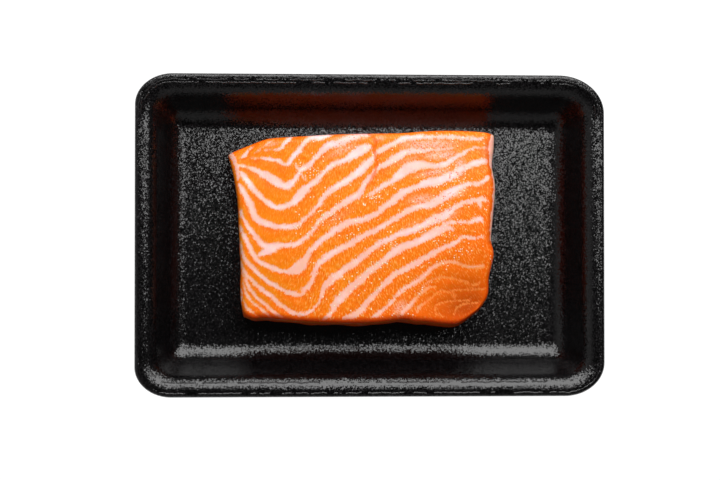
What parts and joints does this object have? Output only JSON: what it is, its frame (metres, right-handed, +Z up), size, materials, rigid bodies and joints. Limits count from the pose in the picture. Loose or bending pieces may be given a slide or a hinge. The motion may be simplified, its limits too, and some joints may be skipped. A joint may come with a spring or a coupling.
{
  "type": "tray of salmon fillet",
  "caption": "Thick block of raw salmon fillet with pale fat lines, lying cut face up in a shallow black foam tray with a rolled lip.",
  "frame": {"origin": "centre of the tray's underside, on the surface that it stands on", "axes": "+Z up, +X along the tray's long side, +Y towards the side that is at the top of the picture"},
  "size_m": [0.21, 0.144, 0.0265],
  "materials": {
    "foam": "black expanded foam with a fine grained skin, satin",
    "salmon": "moist orange flesh with pale pink fat lines"
  },
  "bodies": {
    "root": {"tray": "foam", "salmon": "salmon"}
  },
  "joints": []
}
